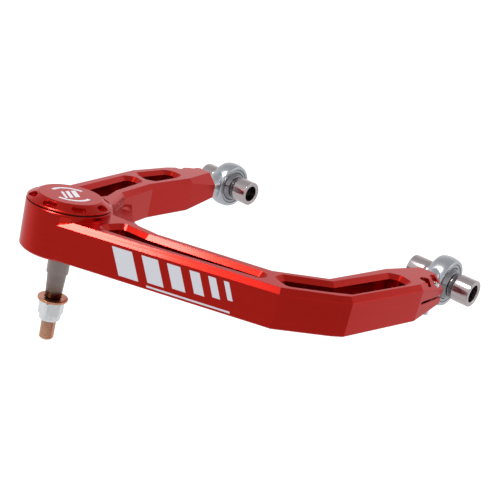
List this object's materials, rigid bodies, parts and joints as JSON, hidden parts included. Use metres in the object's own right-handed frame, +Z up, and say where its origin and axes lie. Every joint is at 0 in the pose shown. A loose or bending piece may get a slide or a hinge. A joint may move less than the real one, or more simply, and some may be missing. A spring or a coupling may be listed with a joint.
{
  "type": "suspension control arm",
  "caption": "Machined A-shaped suspension control arm with a ball joint and tapered stud outboard and clamped, adjustable rod ends with misalignment spacers inboard.",
  "frame": {"origin": "on the inboard pivot axis, midway between the two rod-end ball centres", "axes": "+X outboard to the ball joint, +Y along the pivot axis to the longer leg's rod end, +Z up, away from the stud"},
  "size_m": [0.3281, 0.3264, 0.1246],
  "materials": {
    "red_anodised": "red anodised, machined, semi-gloss",
    "black_rubber": "matte",
    "spring_steel": "oiled spring steel",
    "bearing_polymer": "moulded bearing polymer",
    "hard_chrome": "polished",
    "ground_alloy_steel": "ground, with a heat-tinted thread",
    "yellow_zinc": "yellow zinc plate",
    "bright_zinc": "bright zinc plate",
    "nylon": "moulded nylon",
    "zinc_plated_steel": "zinc plated forging",
    "ptfe_liner": "woven liner on a steel race",
    "turned_stainless": "turned and polished",
    "zinc_bolt": "zinc plated"
  },
  "bodies": {
    "arm": {"arm_body": "red_anodised", "ball_joint_cap": "red_anodised", "cap_seal_ring": "black_rubber", "preload_spring": "spring_steel", "seal_washer": "black_rubber", "front_pinch_bolt_1": "zinc_bolt", "front_pinch_bolt_2": "zinc_bolt", "rear_pinch_bolt_1": "zinc_bolt", "rear_pinch_bolt_2": "zinc_bolt"},
    "front_head": {"front_rod_end": "zinc_plated_steel", "front_race": "ptfe_liner"},
    "front_ball_body": {"front_ball": "hard_chrome"},
    "front_spacers": {"front_spacer_outer": "turned_stainless", "front_spacer_inner": "turned_stainless"},
    "rear_head": {"rear_rod_end": "zinc_plated_steel", "rear_race": "ptfe_liner"},
    "rear_ball_body": {"rear_ball": "hard_chrome"},
    "rear_spacers": {"rear_spacer_outer": "turned_stainless", "rear_spacer_inner": "turned_stainless"},
    "seats": {"upper_seat": "bearing_polymer", "lower_seat": "bearing_polymer"},
    "ball": {"joint_ball": "hard_chrome"},
    "stud": {"stud": "ground_alloy_steel", "stud_clip": "spring_steel", "stud_washer": "yellow_zinc", "lock_nut": "bright_zinc", "nut_insert": "nylon"}
  },
  "joints": [
    {"name": "front_length_adjust", "type": "slide", "parent": "arm", "child": "front_head", "axis": [-1, 0, 0], "range_m": [0, 0.008]},
    {"name": "front_misalignment", "type": "hinge", "parent": "front_head", "child": "front_ball_body", "pos_m": [0, 0.1313, 0], "axis": [0, 0, 1], "range_deg": [-20, 20]},
    {"name": "front_pivot", "type": "hinge", "parent": "front_ball_body", "child": "front_spacers", "pos_m": [0, 0.1313, 0], "axis": [0, 1, 0], "continuous": true},
    {"name": "rear_length_adjust", "type": "slide", "parent": "arm", "child": "rear_head", "axis": [-1, 0, 0], "range_m": [0, 0.008]},
    {"name": "rear_misalignment", "type": "hinge", "parent": "rear_head", "child": "rear_ball_body", "pos_m": [0, -0.1313, 0], "axis": [0, 0, 1], "range_deg": [-20, 20]},
    {"name": "rear_pivot", "type": "hinge", "parent": "rear_ball_body", "child": "rear_spacers", "pos_m": [0, -0.1313, 0], "axis": [0, 1, 0], "continuous": true},
    {"name": "ball_joint_swivel", "type": "hinge", "parent": "arm", "child": "seats", "pos_m": [0.272, -0.066, 0], "axis": [0, 0, 1], "continuous": true},
    {"name": "ball_joint_lean", "type": "hinge", "parent": "seats", "child": "ball", "pos_m": [0.272, -0.066, 0], "axis": [0, 1, 0], "range_deg": [-25, 25]},
    {"name": "stud_spin", "type": "hinge", "parent": "ball", "child": "stud", "pos_m": [0.272, -0.066, 0], "axis": [0, 0, 1], "continuous": true}
  ]
}
